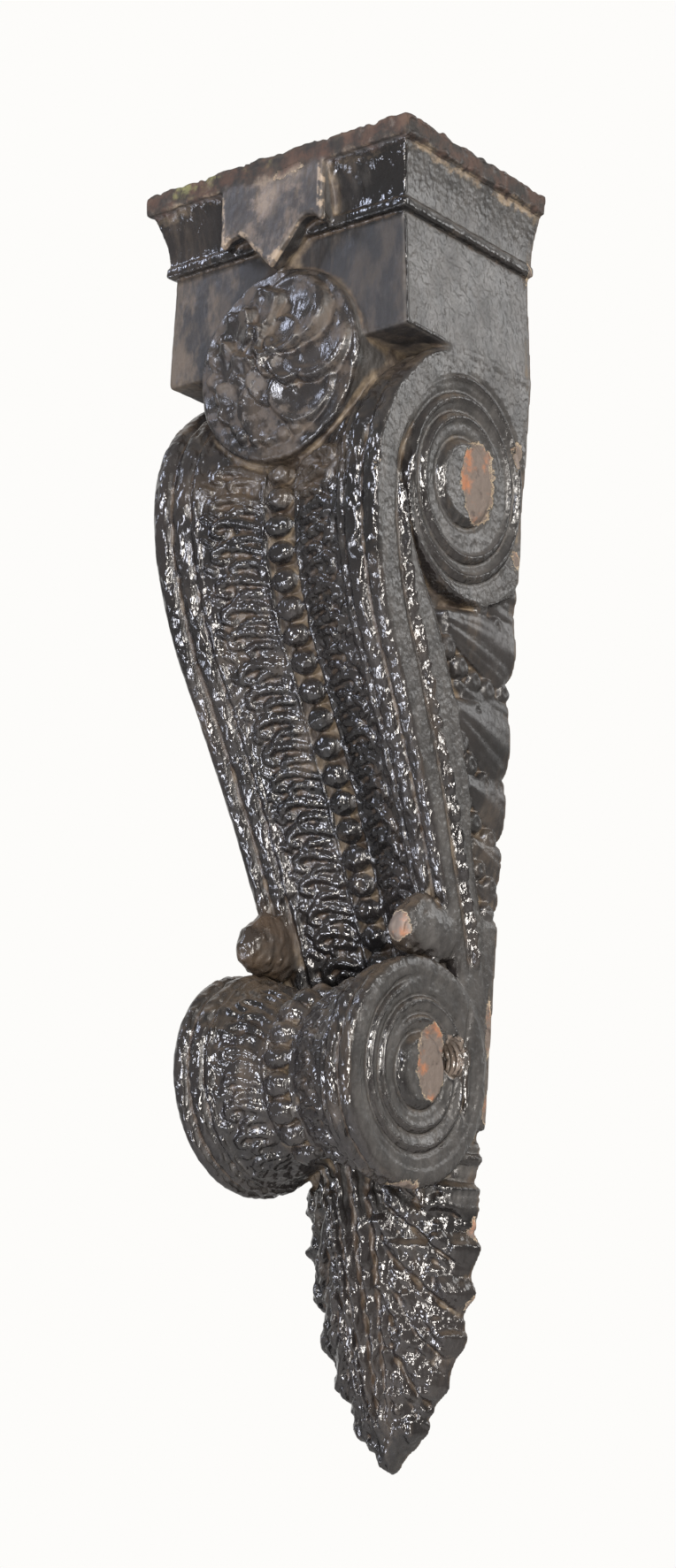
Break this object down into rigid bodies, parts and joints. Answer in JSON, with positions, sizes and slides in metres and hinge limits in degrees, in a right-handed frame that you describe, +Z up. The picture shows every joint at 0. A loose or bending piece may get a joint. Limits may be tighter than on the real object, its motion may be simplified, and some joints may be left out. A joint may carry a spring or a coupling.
{
  "type": "cast iron corbel",
  "caption": "Ornate cast iron wall corbel: moulded top slab with shield and rosette on a tapered S scroll with beads and leaves, and a pointed acanthus pendant below.",
  "frame": {"origin": "middle of the top slab's rear edge, on the wall plane, at half the slab's thickness", "axes": "+X to the corbel's right seen from the front, +Y into the wall, +Z up"},
  "size_m": [0.1468, 0.1095, 0.5549],
  "materials": {
    "painted_iron": "thick old gloss black paint on cast iron, with dirt in the crevices and rusty chips"
  },
  "bodies": {
    "root": {"corbel_casting": "painted_iron"}
  },
  "joints": []
}
